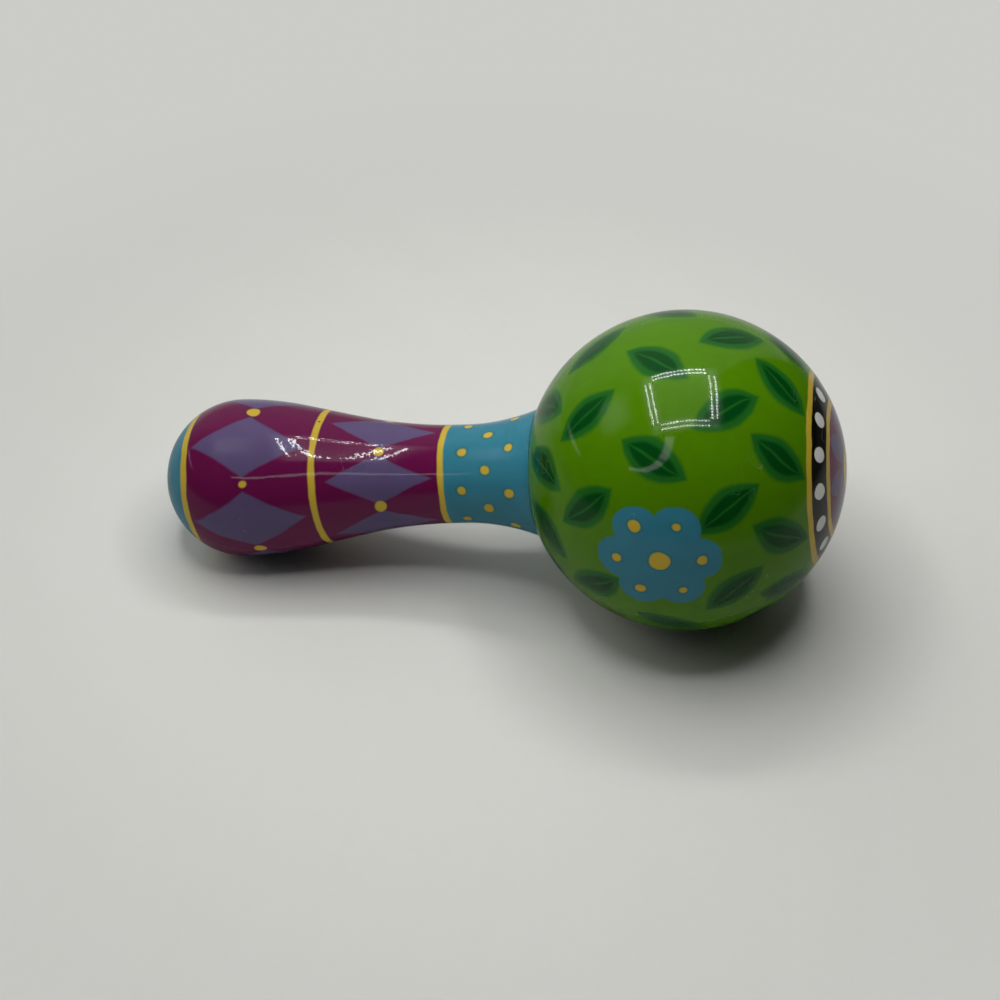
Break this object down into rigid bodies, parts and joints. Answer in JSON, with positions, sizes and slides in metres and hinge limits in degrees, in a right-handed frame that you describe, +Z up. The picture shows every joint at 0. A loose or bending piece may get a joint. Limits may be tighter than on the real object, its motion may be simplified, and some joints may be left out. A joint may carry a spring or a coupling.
{
  "type": "wooden shaker",
  "caption": "Turned wooden hand shaker lying on its side: hollow painted ball in lapped halves, flared bulb-ended handle tenoned into it, loose rattle beads inside.",
  "frame": {"origin": "middle of the object's box, on the surface that the shaker lies on", "axes": "+X along the floor from the butt of the handle to the ball, +Z up; the lathe axis lies in the XZ plane and rises towards the ball by 9.6 degrees"},
  "size_m": [0.1357, 0.0618, 0.0619],
  "materials": {
    "handle_paint": "hand-painted purple, lavender, yellow and turquoise under gloss lacquer",
    "ball_paint": "hand-painted green with dark green, turquoise and yellow under gloss lacquer",
    "pellet_wood": "bare turned beech"
  },
  "bodies": {
    "shaker": {"handle": "handle_paint", "rear_shell": "ball_paint", "front_shell": "ball_paint"},
    "pellet_01": {"pellet_01": "pellet_wood"},
    "pellet_02": {"pellet_02": "pellet_wood"},
    "pellet_03": {"pellet_03": "pellet_wood"},
    "pellet_04": {"pellet_04": "pellet_wood"},
    "pellet_05": {"pellet_05": "pellet_wood"},
    "pellet_06": {"pellet_06": "pellet_wood"},
    "pellet_07": {"pellet_07": "pellet_wood"},
    "pellet_08": {"pellet_08": "pellet_wood"},
    "pellet_09": {"pellet_09": "pellet_wood"},
    "pellet_10": {"pellet_10": "pellet_wood"},
    "pellet_11": {"pellet_11": "pellet_wood"},
    "pellet_12": {"pellet_12": "pellet_wood"},
    "pellet_13": {"pellet_13": "pellet_wood"},
    "pellet_14": {"pellet_14": "pellet_wood"},
    "pellet_15": {"pellet_15": "pellet_wood"},
    "pellet_16": {"pellet_16": "pellet_wood"},
    "pellet_17": {"pellet_17": "pellet_wood"},
    "pellet_18": {"pellet_18": "pellet_wood"},
    "pellet_19": {"pellet_19": "pellet_wood"}
  },
  "joints": [
    {"name": "pellet_01_bounce", "type": "slide", "parent": "shaker", "child": "pellet_01", "axis": [0, 0, 1], "range_m": [0, 0.0474]},
    {"name": "pellet_02_bounce", "type": "slide", "parent": "shaker", "child": "pellet_02", "axis": [0, 0, 1], "range_m": [0, 0.046]},
    {"name": "pellet_03_bounce", "type": "slide", "parent": "shaker", "child": "pellet_03", "axis": [0, 0, 1], "range_m": [0, 0.046]},
    {"name": "pellet_04_bounce", "type": "slide", "parent": "shaker", "child": "pellet_04", "axis": [0, 0, 1], "range_m": [0, 0.046]},
    {"name": "pellet_05_bounce", "type": "slide", "parent": "shaker", "child": "pellet_05", "axis": [0, 0, 1], "range_m": [0, 0.046]},
    {"name": "pellet_06_bounce", "type": "slide", "parent": "shaker", "child": "pellet_06", "axis": [0, 0, 1], "range_m": [0, 0.046]},
    {"name": "pellet_07_bounce", "type": "slide", "parent": "shaker", "child": "pellet_07", "axis": [0, 0, 1], "range_m": [0, 0.046]},
    {"name": "pellet_08_bounce", "type": "slide", "parent": "shaker", "child": "pellet_08", "axis": [0, 0, 1], "range_m": [0, 0.0432]},
    {"name": "pellet_09_bounce", "type": "slide", "parent": "shaker", "child": "pellet_09", "axis": [0, 0, 1], "range_m": [0, 0.0417]},
    {"name": "pellet_10_bounce", "type": "slide", "parent": "shaker", "child": "pellet_10", "axis": [0, 0, 1], "range_m": [0, 0.0432]},
    {"name": "pellet_11_bounce", "type": "slide", "parent": "shaker", "child": "pellet_11", "axis": [0, 0, 1], "range_m": [0, 0.0417]},
    {"name": "pellet_12_bounce", "type": "slide", "parent": "shaker", "child": "pellet_12", "axis": [0, 0, 1], "range_m": [0, 0.0432]},
    {"name": "pellet_13_bounce", "type": "slide", "parent": "shaker", "child": "pellet_13", "axis": [0, 0, 1], "range_m": [0, 0.0417]},
    {"name": "pellet_14_bounce", "type": "slide", "parent": "shaker", "child": "pellet_14", "axis": [0, 0, 1], "range_m": [0, 0.0432]},
    {"name": "pellet_15_bounce", "type": "slide", "parent": "shaker", "child": "pellet_15", "axis": [0, 0, 1], "range_m": [0, 0.0417]},
    {"name": "pellet_16_bounce", "type": "slide", "parent": "shaker", "child": "pellet_16", "axis": [0, 0, 1], "range_m": [0, 0.0432]},
    {"name": "pellet_17_bounce", "type": "slide", "parent": "shaker", "child": "pellet_17", "axis": [0, 0, 1], "range_m": [0, 0.0417]},
    {"name": "pellet_18_bounce", "type": "slide", "parent": "shaker", "child": "pellet_18", "axis": [0, 0, 1], "range_m": [0, 0.0432]},
    {"name": "pellet_19_bounce", "type": "slide", "parent": "shaker", "child": "pellet_19", "axis": [0, 0, 1], "range_m": [0, 0.0417]}
  ]
}
